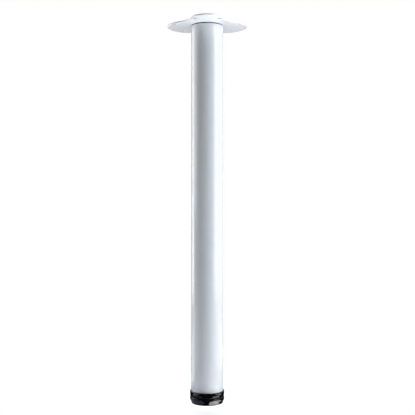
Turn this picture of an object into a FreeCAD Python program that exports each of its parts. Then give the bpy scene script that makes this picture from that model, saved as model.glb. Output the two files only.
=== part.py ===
import FreeCAD, Part
import math
import os

# Height adjustable table leg. Millimetres and degrees, +Z up. The origin is the
# centre of the sole, on the floor, and the foot is screwed all the way in.
# The front lobe of the mounting plate points along -Y.

# Overall height, from the floor to the underside of the table top
LEG_HEIGHT = 710.0

# Clearances
RUN_GAP = 0.1        # between faces that turn or slide on each other
THREAD_GAP = 0.05    # radial, between a screw and its threaded hole
PLUG_GAP = 0.1       # radial, between a plug's spigot and the tube
BOLT_GAP = 0.4       # radial, round a bolt in a plain hole
POCKET_GAP = 0.3     # round a nut, a head or a bush in its pocket

# Steel tube
TUBE_DIAMETER = 60.0
TUBE_WALL = 1.5
TUBE_RIM_BEVEL = 0.4

# Mounting plate: one lobe to the front, two wider lobes to the sides
PLATE_THICK = 3.0
FRONT_LOBE_REACH = 80.5
FRONT_LOBE_RADIUS = 28.5
SIDE_LOBE_REACH = 79.0
SIDE_LOBE_RADIUS = 45.0
SIDE_LOBE_ANGLE = 117.0      # round the axis, from the front
FRONT_WAIST_RADIUS = 55.0
REAR_WAIST_RADIUS = 70.0
PLATE_EDGE_BEVEL = 0.5

# Screw holes of the plate, in mirrored pairs. Each hole lies a margin inside its
# lobe's edge, at a turn about the lobe's centre that is measured from the front.
SCREW_HOLE = 4.6
COUNTERSINK = 8.8
FRONT_SCREW_MARGIN = 5.5
FRONT_SCREW_TURN = 79.5
SIDE_SCREW_MARGIN = 5.5
SIDE_SCREW_TURN = 50.0
REAR_SCREW_MARGIN = 15.0
REAR_SCREW_TURN = 150.0

# Bolts, nuts and washers of the M10 size
THREAD_DIAMETER = 10.0
HEX_FLATS = 17.0
HEAD_HEIGHT = 6.4
NUT_HEIGHT = 8.0
HEX_CHAMFER = 0.8
WASHER_DIAMETER = 20.0
WASHER_THICK = 2.0
SPRING_WASHER_DIAMETER = 18.0
SPRING_WASHER_THICK = 2.2
SPRING_WASHER_SLIT = 1.6

# Threaded bush pressed into the plate
BUSH_SPIGOT = 16.0
BUSH_COLLAR = 22.0
BUSH_DROP = 8.0
BOLT_SET_BACK = 2.0          # from the top of the plate down to the bolt's end

# Top plug
TOP_FLANGE_THICK = 1.5
TOP_FLANGE_INSET = 0.7
TOP_PLUG_DEPTH = 30.0
TOP_WEB = 4.0
TOP_BOSS = 30.0
TOP_BOSS_FLOOR = 6.0
TOP_BOSS_DEPTH = 28.0
PLUG_WALL = 3.0
RIB_THICK = 2.0
TOP_RIBS = 6
TOP_RIB_DEPTH = 22.0

# End plug
COLLAR_DIAMETER = 64.2
COLLAR_HEIGHT = 9.0
COLLAR_BAND = 5.8             # upper, full-width part of the collar
COLLAR_STEP = 0.25
COLLAR_TAPER = 0.25           # of the lower part
COLLAR_BEVEL = 0.4
END_PLUG_DEPTH = 36.0
END_WEB = 4.0
END_BOSS = 26.0
END_RIBS = 8
END_RIB_DEPTH = 14.0

# Foot with its neck
FOOT_DIAMETER = 64.2
FOOT_HEIGHT = 7.6
FOOT_BAND = 3.8               # upper, straight part of the rim
FOOT_TAPER = 1.0
FOOT_TOP_BEVEL = 1.0
FOOT_BEVEL = 0.5
NECK_DIAMETER = 61.0
NECK_HEIGHT = 2.0

# Sole that swivels under the foot on a snap ring
SOLE_DIAMETER = 60.0
SOLE_HEIGHT = 4.0
SOLE_TAPER = 0.7
SOLE_BEVEL = 0.8
SNAP_DIAMETER = 32.0
SNAP_WALL = 2.4
SNAP_HEIGHT = 3.6
SNAP_LIP = 0.5
SNAP_LIP_HEIGHT = 1.0

# Screw spindle of the foot
FOOT_TRAVEL = 20.0
SPINDLE_LENGTH = 50.0
CLIP_FROM_END = 3.0
CLIP_THICK = 1.0
CLIP_GROOVE_DEPTH = 0.4
CLIP_DIAMETER = 15.0
CLIP_MOUTH = 4.0
SPINDLE_CHAMFER = 1.0

# Levels up the axis, worked out from the sizes above
FOOT_BOTTOM = SOLE_HEIGHT + RUN_GAP
FOOT_TOP = FOOT_BOTTOM + FOOT_HEIGHT
NECK_TOP = FOOT_TOP + NECK_HEIGHT
COLLAR_BOTTOM = NECK_TOP + RUN_GAP
TUBE_BOTTOM = COLLAR_BOTTOM + COLLAR_HEIGHT
PLATE_BOTTOM = LEG_HEIGHT - PLATE_THICK
TUBE_TOP = PLATE_BOTTOM - TOP_FLANGE_THICK
BUSH_BOTTOM = PLATE_BOTTOM - BUSH_DROP
TOP_FLOOR_TOP = BUSH_BOTTOM - POCKET_GAP
TOP_FLOOR_BOTTOM = TOP_FLOOR_TOP - TOP_BOSS_FLOOR
WASHER_BOTTOM = TOP_FLOOR_BOTTOM - WASHER_THICK
SPRING_WASHER_BOTTOM = WASHER_BOTTOM - SPRING_WASHER_THICK
SPINDLE_SEAT = FOOT_BOTTOM + HEAD_HEIGHT
SPINDLE_END = SPINDLE_SEAT + SPINDLE_LENGTH
CLIP_BOTTOM = SPINDLE_END - CLIP_FROM_END - CLIP_THICK
END_BOSS_TOP = CLIP_BOTTOM - FOOT_TRAVEL - RUN_GAP
NUT_BOTTOM = COLLAR_BOTTOM + RUN_GAP
NUT_TOP = NUT_BOTTOM + NUT_HEIGHT

# Radii that pieces share
TUBE_RADIUS = TUBE_DIAMETER / 2
BORE_RADIUS = TUBE_RADIUS - TUBE_WALL
SPIGOT_RADIUS = BORE_RADIUS - PLUG_GAP
SPIGOT_INNER = SPIGOT_RADIUS - PLUG_WALL
THREAD_RADIUS = THREAD_DIAMETER / 2
TAPPED_RADIUS = THREAD_RADIUS + THREAD_GAP
PLAIN_HOLE_RADIUS = THREAD_RADIUS + BOLT_GAP
CLIP_SEAT_RADIUS = THREAD_RADIUS - CLIP_GROOVE_DEPTH

AXIS = FreeCAD.Vector(0, 0, 1)
BASE = FreeCAD.Vector(0, 0, 0)


def at(x, y, z=0.0):
    """A point in space."""
    return FreeCAD.Vector(x, y, z)


def round_bar(radius, low, high):
    """A cylinder on the leg's axis between two levels."""
    return Part.makeCylinder(radius, high - low, at(0, 0, low))


def turned(profile):
    """A body turned about the leg's axis from a closed list of (radius, level)."""
    points = [at(radius, 0, level) for radius, level in profile]
    outline = Part.Face(Part.makePolygon(points + points[:1]))
    return outline.revolve(BASE, AXIS, 360)


def hexagon(flats, low, high):
    """A plain hexagonal prism on the axis, measured across its flats."""
    corner = flats / math.sqrt(3)
    points = [at(corner * math.cos(math.radians(60 * i)), corner * math.sin(math.radians(60 * i)), low)
              for i in range(7)]
    return Part.Face(Part.makePolygon(points)).extrude(at(0, 0, high - low))


def bolt_head(low):
    """A hexagonal head whose lower corners are turned off."""
    corner = HEX_FLATS / math.sqrt(3)
    high = low + HEAD_HEIGHT
    rounded_off = turned([
        (0, low), (corner - HEX_CHAMFER / math.tan(math.radians(30)), low), (corner, low + HEX_CHAMFER),
        (corner, high), (0, high)])
    return hexagon(HEX_FLATS, low, high).common(rounded_off)


def ribs(count, inner, outer, low, high):
    """Straight ribs that stand like spokes between two radii."""
    rib = Part.makeBox(outer - inner, RIB_THICK, high - low, at(inner, -RIB_THICK / 2, low))
    spokes = []
    for i in range(count):
        spoke = rib.copy()
        spoke.rotate(BASE, AXIS, 360.0 / count * i)
        spokes.append(spoke)
    return spokes


def around(radius, angle):
    """A point in plan at a radius and an angle from the front, turning to the right."""
    return at(radius * math.sin(math.radians(angle)), -radius * math.cos(math.radians(angle)))


def waist(first, first_radius, second, second_radius, radius):
    """The centre of the hollow arc that touches two lobes from outside, right of first to second."""
    gap = second - first
    reach = first_radius + radius
    along = (gap.Length ** 2 + reach ** 2 - (second_radius + radius) ** 2) / (2 * gap.Length)
    aside = math.sqrt(reach ** 2 - along ** 2)
    course = gap / gap.Length
    return first + course * along + at(course.y, -course.x) * aside


def toward(start, end, distance):
    """The point at a distance from start on the way to end."""
    return start + (end - start) * (distance / (end - start).Length)


def mirrored(point):
    """The point's mirror image on the left half of the plate."""
    return at(-point.x, point.y)


def lobe_centres():
    """The centres of the front lobe and the right-hand lobe, in plan."""
    front = around(FRONT_LOBE_REACH - FRONT_LOBE_RADIUS, 0)
    right = around(SIDE_LOBE_REACH - SIDE_LOBE_RADIUS, SIDE_LOBE_ANGLE)
    return front, right


def screw_places():
    """The centres of the six screw holes, in plan: front, side and rear pairs."""
    front, right = lobe_centres()
    right_half = [
        front + around(FRONT_LOBE_RADIUS - FRONT_SCREW_MARGIN, FRONT_SCREW_TURN),
        right + around(SIDE_LOBE_RADIUS - SIDE_SCREW_MARGIN, SIDE_SCREW_TURN),
        right + around(SIDE_LOBE_RADIUS - REAR_SCREW_MARGIN, REAR_SCREW_TURN),
    ]
    return right_half + [mirrored(place) for place in right_half]


def plate_outline():
    """The plate's outline in plan: three lobes joined by hollow arcs, all tangent."""
    front, right = lobe_centres()
    left = mirrored(right)
    right_waist = waist(front, FRONT_LOBE_RADIUS, right, SIDE_LOBE_RADIUS, FRONT_WAIST_RADIUS)
    rear_waist = waist(right, SIDE_LOBE_RADIUS, left, SIDE_LOBE_RADIUS, REAR_WAIST_RADIUS)
    front_tip = at(0, -FRONT_LOBE_REACH)
    front_end = toward(front, right_waist, FRONT_LOBE_RADIUS)
    waist_point = toward(right_waist, BASE, FRONT_WAIST_RADIUS)
    side_start = toward(right, right_waist, SIDE_LOBE_RADIUS)
    side_tip = around(SIDE_LOBE_REACH, SIDE_LOBE_ANGLE)
    side_end = toward(right, rear_waist, SIDE_LOBE_RADIUS)
    rear_point = toward(rear_waist, BASE, REAR_WAIST_RADIUS)
    arcs = [
        Part.Arc(mirrored(front_end), front_tip, front_end),
        Part.Arc(front_end, waist_point, side_start),
        Part.Arc(side_start, side_tip, side_end),
        Part.Arc(side_end, rear_point, mirrored(side_end)),
        Part.Arc(mirrored(side_end), mirrored(side_tip), mirrored(side_start)),
        Part.Arc(mirrored(side_start), mirrored(waist_point), mirrored(front_end)),
    ]
    return Part.Wire([arc.toShape() for arc in arcs])


def mounting_plate():
    """Lobed plate with a bevelled lower edge, six countersunk holes and a seat for the bush."""
    plate = Part.Face(plate_outline()).extrude(at(0, 0, PLATE_THICK))
    plate.translate(at(0, 0, PLATE_BOTTOM))
    lower_rim = [edge for edge in plate.Edges
                 if abs(edge.BoundBox.ZMax - PLATE_BOTTOM) < 0.001 and abs(edge.BoundBox.ZMin - PLATE_BOTTOM) < 0.001]
    plate = plate.makeChamfer(PLATE_EDGE_BEVEL, lower_rim)
    cuts = [round_bar(BUSH_SPIGOT / 2, PLATE_BOTTOM, LEG_HEIGHT)]
    sink_depth = (COUNTERSINK - SCREW_HOLE) / 2
    for place in screw_places():
        mouth = place + at(0, 0, PLATE_BOTTOM)
        cuts.append(Part.makeCylinder(SCREW_HOLE / 2, PLATE_THICK, mouth))
        cuts.append(Part.makeCone(COUNTERSINK / 2, SCREW_HOLE / 2, sink_depth, mouth))
    return plate.cut(cuts)


def plate_bush():
    """Steel bush with an M10 thread, pressed into the plate from below."""
    return turned([
        (TAPPED_RADIUS, BUSH_BOTTOM), (BUSH_COLLAR / 2, BUSH_BOTTOM), (BUSH_COLLAR / 2, PLATE_BOTTOM),
        (BUSH_SPIGOT / 2, PLATE_BOTTOM), (BUSH_SPIGOT / 2, LEG_HEIGHT), (TAPPED_RADIUS, LEG_HEIGHT)])


def top_plug():
    """Black plug in the top of the tube: flange, ribbed spigot and a boss for the bolt."""
    flange = TUBE_RADIUS - TOP_FLANGE_INSET
    spigot_end = TUBE_TOP - TOP_PLUG_DEPTH
    web_bottom = PLATE_BOTTOM - TOP_WEB
    shell = turned([
        (0, PLATE_BOTTOM), (flange, PLATE_BOTTOM), (flange, TUBE_TOP), (SPIGOT_RADIUS, TUBE_TOP),
        (SPIGOT_RADIUS, spigot_end), (SPIGOT_INNER, spigot_end), (SPIGOT_INNER, web_bottom), (0, web_bottom)])
    boss = round_bar(TOP_BOSS / 2, PLATE_BOTTOM - TOP_BOSS_DEPTH, web_bottom)
    spokes = ribs(TOP_RIBS, TOP_BOSS / 2 - RIB_THICK, SPIGOT_INNER + PLUG_WALL / 2,
                  PLATE_BOTTOM - TOP_RIB_DEPTH, web_bottom)
    pocket = round_bar(BUSH_COLLAR / 2 + POCKET_GAP, TOP_FLOOR_TOP, PLATE_BOTTOM)
    bolt_hole = round_bar(PLAIN_HOLE_RADIUS, TOP_FLOOR_BOTTOM, TOP_FLOOR_TOP)
    head_room = round_bar(HEX_FLATS / math.sqrt(3) + BOLT_GAP * 3, PLATE_BOTTOM - TOP_BOSS_DEPTH, TOP_FLOOR_BOTTOM)
    return shell.fuse([boss] + spokes).cut([pocket, bolt_hole, head_room]).removeSplitter()


def plain_washer():
    """Flat washer under the floor of the top plug's boss."""
    washer = round_bar(WASHER_DIAMETER / 2, WASHER_BOTTOM, TOP_FLOOR_BOTTOM)
    return washer.cut(round_bar(PLAIN_HOLE_RADIUS, WASHER_BOTTOM, TOP_FLOOR_BOTTOM))


def spring_washer():
    """Split spring washer between the flat washer and the bolt's head."""
    ring = round_bar(SPRING_WASHER_DIAMETER / 2, SPRING_WASHER_BOTTOM, WASHER_BOTTOM)
    ring = ring.cut(round_bar(PLAIN_HOLE_RADIUS, SPRING_WASHER_BOTTOM, WASHER_BOTTOM))
    slit = Part.makeBox(SPRING_WASHER_DIAMETER, SPRING_WASHER_SLIT, SPRING_WASHER_THICK,
                        at(0, -SPRING_WASHER_SLIT / 2, SPRING_WASHER_BOTTOM))
    return ring.cut(slit)


def leg_bolt():
    """Hexagon bolt that draws the leg up against the plate."""
    head = bolt_head(SPRING_WASHER_BOTTOM - HEAD_HEIGHT)
    end = LEG_HEIGHT - BOLT_SET_BACK
    shank = turned([
        (0, SPRING_WASHER_BOTTOM), (THREAD_RADIUS, SPRING_WASHER_BOTTOM), (THREAD_RADIUS, end - SPINDLE_CHAMFER),
        (THREAD_RADIUS - SPINDLE_CHAMFER, end), (0, end)])
    return head.fuse(shank).removeSplitter()


def tube():
    """Round steel tube whose outer rims are lightly bevelled."""
    rim = TUBE_RADIUS - TUBE_RIM_BEVEL
    return turned([
        (BORE_RADIUS, TUBE_BOTTOM), (rim, TUBE_BOTTOM), (TUBE_RADIUS, TUBE_BOTTOM + TUBE_RIM_BEVEL),
        (TUBE_RADIUS, TUBE_TOP - TUBE_RIM_BEVEL), (rim, TUBE_TOP), (BORE_RADIUS, TUBE_TOP)])


def end_plug():
    """Black plug in the bottom of the tube: stepped collar, ribbed spigot, boss with a nut pocket."""
    collar = COLLAR_DIAMETER / 2
    low_collar = collar - COLLAR_STEP
    collar_end = low_collar - COLLAR_TAPER
    step_level = TUBE_BOTTOM - COLLAR_BAND
    spigot_end = TUBE_BOTTOM + END_PLUG_DEPTH
    web_top = COLLAR_BOTTOM + END_WEB
    shell = turned([
        (0, COLLAR_BOTTOM), (collar_end - COLLAR_BEVEL, COLLAR_BOTTOM),
        (collar_end, COLLAR_BOTTOM + COLLAR_BEVEL), (low_collar, step_level),
        (collar, step_level + COLLAR_STEP), (collar, TUBE_BOTTOM - COLLAR_BEVEL),
        (collar - COLLAR_BEVEL, TUBE_BOTTOM), (SPIGOT_RADIUS, TUBE_BOTTOM),
        (SPIGOT_RADIUS, spigot_end), (SPIGOT_INNER, spigot_end), (SPIGOT_INNER, web_top), (0, web_top)])
    boss = round_bar(END_BOSS / 2, web_top, END_BOSS_TOP)
    spokes = ribs(END_RIBS, END_BOSS / 2 - RIB_THICK, SPIGOT_INNER + PLUG_WALL / 2,
                  web_top, web_top + END_RIB_DEPTH)
    nut_pocket = hexagon(HEX_FLATS, COLLAR_BOTTOM, NUT_TOP)
    spindle_hole = round_bar(PLAIN_HOLE_RADIUS, NUT_TOP, END_BOSS_TOP)
    return shell.fuse([boss] + spokes).cut([nut_pocket, spindle_hole]).removeSplitter()


def spindle_nut():
    """Hexagon nut held in the end plug."""
    nut = hexagon(HEX_FLATS, NUT_BOTTOM, NUT_TOP)
    return nut.cut(round_bar(TAPPED_RADIUS, NUT_BOTTOM, NUT_TOP))


def foot():
    """Black foot: a bowl-shaped disc that the hand turns, with a narrower neck on top."""
    rim = FOOT_DIAMETER / 2
    low_rim = rim - FOOT_TAPER
    body = turned([
        (0, FOOT_BOTTOM), (low_rim - FOOT_BEVEL, FOOT_BOTTOM), (low_rim, FOOT_BOTTOM + FOOT_BEVEL),
        (rim, FOOT_TOP - FOOT_BAND), (rim, FOOT_TOP - FOOT_TOP_BEVEL), (rim - FOOT_TOP_BEVEL, FOOT_TOP),
        (NECK_DIAMETER / 2, FOOT_TOP),
        (NECK_DIAMETER / 2, NECK_TOP), (0, NECK_TOP)])
    head_pocket = hexagon(HEX_FLATS, FOOT_BOTTOM, SPINDLE_SEAT)
    shank_hole = round_bar(THREAD_RADIUS, SPINDLE_SEAT, NECK_TOP)
    return body.cut([head_pocket, shank_hole, snap_ring(RUN_GAP, FOOT_BOTTOM)])


def spindle():
    """M10 screw moulded into the foot, with a groove for the clip near its end."""
    head = hexagon(HEX_FLATS, FOOT_BOTTOM, SPINDLE_SEAT)
    shank = turned([
        (0, SPINDLE_SEAT), (THREAD_RADIUS, SPINDLE_SEAT), (THREAD_RADIUS, CLIP_BOTTOM),
        (CLIP_SEAT_RADIUS, CLIP_BOTTOM), (CLIP_SEAT_RADIUS, CLIP_BOTTOM + CLIP_THICK),
        (THREAD_RADIUS, CLIP_BOTTOM + CLIP_THICK), (THREAD_RADIUS, SPINDLE_END - SPINDLE_CHAMFER),
        (THREAD_RADIUS - SPINDLE_CHAMFER, SPINDLE_END), (0, SPINDLE_END)])
    return head.fuse(shank).removeSplitter()


def stop_clip():
    """Spring clip on the spindle that stops it before it leaves the nut."""
    ring = round_bar(CLIP_DIAMETER / 2, CLIP_BOTTOM, CLIP_BOTTOM + CLIP_THICK)
    ring = ring.cut(round_bar(CLIP_SEAT_RADIUS, CLIP_BOTTOM, CLIP_BOTTOM + CLIP_THICK))
    mouth = Part.makeBox(CLIP_DIAMETER, CLIP_MOUTH, CLIP_THICK, at(0, -CLIP_MOUTH / 2, CLIP_BOTTOM))
    return ring.cut(mouth)


def snap_ring(clearance, low):
    """Barbed ring that holds the sole under the foot, or with a clearance the groove for it."""
    outer = SNAP_DIAMETER / 2 + clearance
    inner = SNAP_DIAMETER / 2 - SNAP_WALL - clearance
    lip = outer + SNAP_LIP
    top = SOLE_HEIGHT + SNAP_HEIGHT + clearance
    lip_low = SOLE_HEIGHT + SNAP_HEIGHT - SNAP_LIP_HEIGHT - clearance
    return turned([
        (inner, low), (outer, low), (outer, lip_low), (lip, lip_low), (outer, top), (inner, top)])


def sole():
    """Black sole with a bevelled lower edge, which stays still on the floor as the foot turns."""
    rim = SOLE_DIAMETER / 2
    low_rim = rim - SOLE_TAPER
    disc = turned([
        (0, 0), (low_rim - SOLE_BEVEL, 0), (low_rim, SOLE_BEVEL), (rim, SOLE_HEIGHT), (0, SOLE_HEIGHT)])
    return disc.fuse(snap_ring(0, SOLE_HEIGHT)).removeSplitter()


NODES = {
    "mounting_plate": mounting_plate,
    "plate_bush": plate_bush,
    "top_plug": top_plug,
    "plain_washer": plain_washer,
    "spring_washer": spring_washer,
    "leg_bolt": leg_bolt,
    "tube": tube,
    "end_plug": end_plug,
    "spindle_nut": spindle_nut,
    "foot": foot,
    "spindle": spindle,
    "stop_clip": stop_clip,
    "sole": sole,
}

os.makedirs("parts", exist_ok=True)
for name, make in NODES.items():
    shape = make()
    print(name, "solids", len(shape.Solids), "valid", shape.isValid(), "mm3", round(shape.Volume))
    shape.Solids[0].exportStep("parts/" + name + ".step")
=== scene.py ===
"""Looks of the height adjustable table leg: its pieces, finishes, studio light and camera.

Levels and radii are in millimetres in the dataclasses and turn into metres when a
mesh is made. The frame's axes hold throughout: +Z up the leg, -Y to the front.
"""

import logging
import math
from dataclasses import dataclass
from enum import Enum
from typing import Any

import bmesh
import bpy
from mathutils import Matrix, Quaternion, Vector

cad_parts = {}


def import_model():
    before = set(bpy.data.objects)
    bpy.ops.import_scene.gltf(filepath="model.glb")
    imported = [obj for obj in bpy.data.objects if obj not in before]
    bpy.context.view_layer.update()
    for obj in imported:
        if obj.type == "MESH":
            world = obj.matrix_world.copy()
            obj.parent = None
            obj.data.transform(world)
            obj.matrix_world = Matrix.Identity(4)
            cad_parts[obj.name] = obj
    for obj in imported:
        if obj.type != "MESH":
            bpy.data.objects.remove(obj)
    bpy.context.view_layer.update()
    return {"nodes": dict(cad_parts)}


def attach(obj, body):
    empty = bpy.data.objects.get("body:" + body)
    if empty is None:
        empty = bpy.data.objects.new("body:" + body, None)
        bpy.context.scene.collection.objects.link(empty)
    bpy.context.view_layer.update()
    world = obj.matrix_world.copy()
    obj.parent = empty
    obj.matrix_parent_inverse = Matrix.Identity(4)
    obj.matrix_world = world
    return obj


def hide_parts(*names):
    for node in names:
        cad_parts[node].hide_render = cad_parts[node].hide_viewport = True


LOG = logging.getLogger("table_leg")
MM = 0.001
PLASTIC_IOR = 1.5
CRISP = 0.3        # rounding of a moulded or turned edge, in millimetres
SOFT = 0.5         # rounding of an edge that the hand meets
FILLET = 0.8       # rounding in a moulded corner
HEX_CHAMFER = 0.8  # height of the turned corners of a hexagon head
SAME_POINT = 1e-6  # metres within which two points of a mesh are one
OVERHEAD = 1.0     # level, in metres, from which a flat lamp faces down

Pair = tuple[float, float]
Triple = tuple[float, float, float]
Colour = Triple
Outline = tuple[list[Vector], float]  # points in plan, and their level
Socket = bpy.types.NodeSocket
Material = bpy.types.Material
BMesh = bmesh.types.BMesh
BMEdge = bmesh.types.BMEdge
BMVert = bmesh.types.BMVert


class Slot(Enum):
    """The record's material slots."""

    WHITE_TUBE = "white_tube"
    WHITE_PLATE = "white_plate"
    BLACK_GLOSS = "black_gloss"
    BLACK_PLUG = "black_plug"
    ZINC_STEEL = "zinc_steel"


class Body(Enum):
    """The frame's bodies that a piece can ride on."""

    LEG = "leg"
    SOLE = "sole"
    FOOT = "foot"


class NodeGraph:
    """The nodes of one material or world, with short calls for what the finishes share."""

    noise_range: Pair = (0.3, 0.7)
    blend_range: Pair = (0.35, 0.65)

    def __init__(self, owner: Material | bpy.types.World, output: str = "ShaderNodeOutputMaterial") -> None:
        """Leaves the owner only its output node.

        Args:
            owner: The material or world.
            output: The output node's type name.
        """
        owner.use_nodes = True
        self.owner = owner
        self.tree = owner.node_tree
        self.tree.nodes.clear()
        self.output = self.add(output)
        self.places = self.add("ShaderNodeTexCoord").outputs

    def add(self, kind: str, sockets: dict[str | int, Any] | None = None, **settings: Any) -> bpy.types.Node:
        """Adds a node.

        Args:
            kind: The node's type name.
            sockets: For its inputs, by name or number, a value to set or an output to join.
            **settings: Settings of the node itself.

        Returns:
            The new node.
        """
        node = self.tree.nodes.new(kind)
        for key, value in settings.items():
            setattr(node, key, value)
        for key, value in (sockets or {}).items():
            if isinstance(value, Socket):
                self.tree.links.new(value, node.inputs[key])
            else:
                node.inputs[key].default_value = value
        return node

    def noise(self, feature: float, detail: float = 2.0, stretch: Triple = (1.0, 1.0, 1.0)) -> Socket:
        """Adds a noise over the piece.

        Args:
            feature: The size of one blot, in millimetres.
            detail: How many finer layers lie on it.
            stretch: Scale of the coordinates along X, Y and Z.

        Returns:
            The noise's value, from 0 to 1.
        """
        mapping = self.add("ShaderNodeMapping", {"Vector": self.places["Object"], "Scale": stretch})
        texture = self.add("ShaderNodeTexNoise", {
            "Vector": mapping.outputs["Vector"], "Scale": 1.0 / (feature * MM), "Detail": detail})
        return texture.outputs["Fac"]

    def ranged(self, value: Socket, source: Pair, target: Pair = (0.0, 1.0), kind: str = "SMOOTHSTEP") -> Socket:
        """Maps a value from one range to another.

        Args:
            value: The value.
            source: The range that it comes from.
            target: The range that it goes to.
            kind: How it goes from the one end to the other.

        Returns:
            The new value.
        """
        node = self.add("ShaderNodeMapRange", {
            "Value": value, "From Min": source[0], "From Max": source[1],
            "To Min": target[0], "To Max": target[1]}, interpolation_type=kind)
        return node.outputs["Result"]

    def spread(self, value: Socket, target: Pair) -> Socket:
        """Spreads the middle of a noise over a range."""
        return self.ranged(value, self.noise_range, target, "LINEAR")

    def blend(self, value: Socket, first: Colour, second: Colour) -> Socket:
        """Blends two colours by a noise.

        Args:
            value: A noise's value.
            first: The colour at low values.
            second: The colour at high values.

        Returns:
            The blended colour.
        """
        ramp = self.add("ShaderNodeValToRGB", {"Fac": value})
        for stop, position, colour in zip(ramp.color_ramp.elements, self.blend_range, (first, second)):
            stop.position = position
            stop.color = (*colour, 1.0)
        return ramp.outputs["Color"]

    def relief(self, height: Socket, depth: float, strength: float, under: Socket | None = None) -> Socket:
        """Turns a height into a surface relief.

        Args:
            height: The height, from 0 to 1.
            depth: The relief's depth, in millimetres.
            strength: How much of it shows, from 0 to 1.
            under: A coarser relief that this one lies on.

        Returns:
            The bent normal.
        """
        sockets = {"Distance": depth * MM, "Strength": strength, "Height": height}
        if under is not None:
            sockets["Normal"] = under
        return self.add("ShaderNodeBump", sockets).outputs["Normal"]

    def mix(self, share: Socket, first: Socket, second: Socket) -> Socket:
        """Mixes two shaders, of which the second shows by the share."""
        return self.add("ShaderNodeMixShader", {"Fac": share, 1: first, 2: second}).outputs["Shader"]

    def close(self, shader: Socket) -> Material | bpy.types.World:
        """Joins the finished shader to the output and returns the owner."""
        self.tree.links.new(shader, self.output.inputs["Surface"])
        return self.owner

    def surface(self, colour: Socket, roughness: Socket, normal: Socket, **fixed: float) -> Material:
        """Closes the graph with the shader of a solid surface.

        Args:
            colour: The base colour.
            roughness: The roughness.
            normal: The bent normal.
            **fixed: Numbers of the shader's other sockets.

        Returns:
            The finished material.
        """
        shader = self.add("ShaderNodeBsdfPrincipled", {
            "Base Color": colour, "Roughness": roughness, "Normal": normal, **fixed})
        return self.close(shader.outputs["BSDF"])


@dataclass(frozen=True)
class PowderCoat:
    """White powder coat: half-gloss, with the faint waviness that the baked powder keeps."""

    name: str
    colour: Colour = (0.80, 0.83, 0.86)
    cloud: Colour = (0.785, 0.815, 0.85)
    cloud_size: float = 22.0
    roughness: Pair = (0.14, 0.19)
    sheen_size: float = 6.0
    wave_size: float = 1.8
    wave_depth: float = 0.006
    wave_strength: float = 0.8
    grain_size: float = 0.35
    grain_depth: float = 0.0015
    grain_strength: float = 0.6

    def make(self) -> Material:
        """Builds the finish.

        Returns:
            The material.
        """
        graph = NodeGraph(bpy.data.materials.new(self.name))
        colour = graph.blend(graph.noise(self.cloud_size, 3.0), self.cloud, self.colour)
        roughness = graph.spread(graph.noise(self.sheen_size), self.roughness)
        waves = graph.relief(graph.noise(self.wave_size, 1.0), self.wave_depth, self.wave_strength)
        grain = graph.relief(graph.noise(self.grain_size), self.grain_depth, self.grain_strength, waves)
        return graph.surface(colour, roughness, grain, IOR=PLASTIC_IOR)


@dataclass(frozen=True)
class MouldedBlack:
    """Black moulded plastic with a slight flow pattern and a fine skin."""

    name: str
    colour: Colour
    flow: Colour
    roughness: Pair
    skin_size: float
    skin_depth: float
    skin_strength: float = 0.6
    flow_size: float = 9.0
    flow_stretch: Triple = (1.0, 1.0, 2.5)
    sheen_size: float = 2.5
    sink_size: float = 7.0
    sink_strength: float = 0.5

    def make(self) -> Material:
        """Builds the finish.

        Returns:
            The material.
        """
        graph = NodeGraph(bpy.data.materials.new(self.name))
        colour = graph.blend(graph.noise(self.flow_size, 3.0, self.flow_stretch), self.colour, self.flow)
        roughness = graph.spread(graph.noise(self.sheen_size, 4.0), self.roughness)
        sink = graph.relief(graph.noise(self.sink_size, 1.0), self.skin_depth * 2.0, self.sink_strength)
        skin = graph.relief(graph.noise(self.skin_size), self.skin_depth, self.skin_strength, sink)
        return graph.surface(colour, roughness, skin, IOR=PLASTIC_IOR)


@dataclass(frozen=True)
class ZincPlate:
    """Bright zinc on steel: cloudy, faintly blue and yellow, with fine tool marks."""

    name: str
    blue: Colour = (0.60, 0.64, 0.69)
    straw: Colour = (0.70, 0.68, 0.60)
    roughness: Pair = (0.24, 0.42)
    cloud_size: float = 3.5
    sheen_size: float = 0.9
    mark_size: float = 1.2
    mark_stretch: Triple = (1.0, 1.0, 9.0)
    mark_depth: float = 0.006
    mark_strength: float = 0.5

    def make(self) -> Material:
        """Builds the finish.

        Returns:
            The material.
        """
        graph = NodeGraph(bpy.data.materials.new(self.name))
        colour = graph.blend(graph.noise(self.cloud_size, 5.0), self.blue, self.straw)
        roughness = graph.spread(graph.noise(self.sheen_size, 4.0), self.roughness)
        marks = graph.noise(self.mark_size, 3.0, self.mark_stretch)
        relief = graph.relief(marks, self.mark_depth, self.mark_strength)
        return graph.surface(colour, roughness, relief, Metallic=1.0)


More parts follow.
